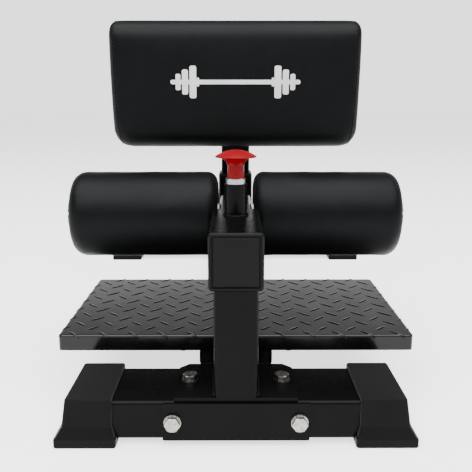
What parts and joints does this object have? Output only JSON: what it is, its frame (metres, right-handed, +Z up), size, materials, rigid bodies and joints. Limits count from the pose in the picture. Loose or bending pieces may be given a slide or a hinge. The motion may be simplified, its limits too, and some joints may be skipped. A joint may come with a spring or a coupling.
{
  "type": "sissy squat bench",
  "caption": "Low floor bench for sissy squats: tread foot plate, padded ankle rollers on a sliding arm and a padded calf rest on a height-adjustable post, on a beam frame with rubber boots.",
  "frame": {"origin": "on the floor, at the middle of the bench's plan", "axes": "+X to the right seen from the ankle-roller end, +Y from the ankle-roller end to the calf-pad end, +Z up"},
  "size_m": [0.65, 1.045, 0.545],
  "materials": {
    "frame_coat": "satin black powder coat",
    "plate_coat": "glossy black coat over tread sheet",
    "boot_rubber": "moulded, matte",
    "vinyl": "fine-grained vinyl, satin",
    "black_plastic": "fine texture",
    "cap_plastic": "moulded, semi-gloss",
    "red_plastic": "glossy red",
    "zinc": "bright zinc plate",
    "dark_zinc": "dulled zinc plate",
    "pin_steel": "turned, polished",
    "spring_steel": "drawn wire",
    "nylon": "natural nylon",
    "plywood": "raw plywood"
  },
  "bodies": {
    "base_frame": {"base_plate_bolts": "dark_zinc", "base_plate_washers": "dark_zinc", "base_plate_weld_nuts": "zinc", "clamp_bolts": "zinc", "clamp_nuts": "zinc", "clamp_washers": "zinc", "foot_plate": "plate_coat", "foot_plate_nuts": "zinc", "foot_plate_rails": "frame_coat", "foot_plate_risers": "frame_coat", "foot_plate_studs": "zinc", "front_clamp_plate": "frame_coat", "front_left_boot": "boot_rubber", "front_right_boot": "boot_rubber", "front_stabiliser": "frame_coat", "main_beam": "frame_coat", "post_pin_housing": "frame_coat", "post_receiver": "frame_coat", "rail_end_caps": "black_plastic", "rear_clamp_plate": "frame_coat", "rear_left_boot": "boot_rubber", "rear_right_boot": "boot_rubber", "rear_stabiliser": "frame_coat", "receiver_base_plate": "frame_coat", "receiver_bushing": "black_plastic", "sleeve_end_cap": "black_plastic", "sleeve_front_bushing": "black_plastic", "sleeve_rear_bushing": "black_plastic", "slider_pin_housing": "frame_coat", "slider_sleeve": "frame_coat", "upright_base_plate": "frame_coat", "upright_tube": "frame_coat"},
    "slider": {"slider_tube": "frame_coat", "slider_end_cap": "black_plastic", "roller_axle": "zinc", "axle_spacers": "nylon", "axle_end_washers": "zinc", "axle_end_bolts": "zinc"},
    "left_roller": {"left_roller_foam": "vinyl", "left_roller_core": "zinc", "left_roller_bushings": "nylon", "left_roller_cap": "cap_plastic"},
    "right_roller": {"right_roller_foam": "vinyl", "right_roller_core": "zinc", "right_roller_bushings": "nylon", "right_roller_cap": "cap_plastic"},
    "slider_lock": {"slider_pin": "pin_steel", "slider_pin_knob": "red_plastic", "slider_pin_spring": "spring_steel"},
    "calf_rest": {"pad_post": "frame_coat", "post_top_cap": "black_plastic", "pad_bracket": "frame_coat", "pad_board": "plywood", "calf_pad": "vinyl", "pad_screws": "zinc"},
    "post_lock": {"post_pin": "pin_steel", "post_pin_knob": "red_plastic", "post_pin_spring": "spring_steel"}
  },
  "joints": [
    {"name": "slider_slide", "type": "slide", "parent": "base_frame", "child": "slider", "axis": [0, 1, 0], "range_m": [0, 0.075]},
    {"name": "left_roller_spin", "type": "hinge", "parent": "slider", "child": "left_roller", "pos_m": [0, -0.2754, 0.246], "axis": [1, 0, 0], "continuous": true},
    {"name": "right_roller_spin", "type": "hinge", "parent": "slider", "child": "right_roller", "pos_m": [0, -0.2754, 0.246], "axis": [1, 0, 0], "continuous": true},
    {"name": "slider_lock_pull", "type": "slide", "parent": "base_frame", "child": "slider_lock", "axis": [0, 0, 1], "range_m": [-0.008, 0.003], "deforming": ["slider_pin_spring"]},
    {"name": "calf_rest_height", "type": "slide", "parent": "base_frame", "child": "calf_rest", "axis": [0, 0, 1], "range_m": [-0.025, 0.075]},
    {"name": "post_lock_pull", "type": "slide", "parent": "base_frame", "child": "post_lock", "axis": [0, 1, 0], "range_m": [-0.008, 0.003], "deforming": ["post_pin_spring"]}
  ]
}
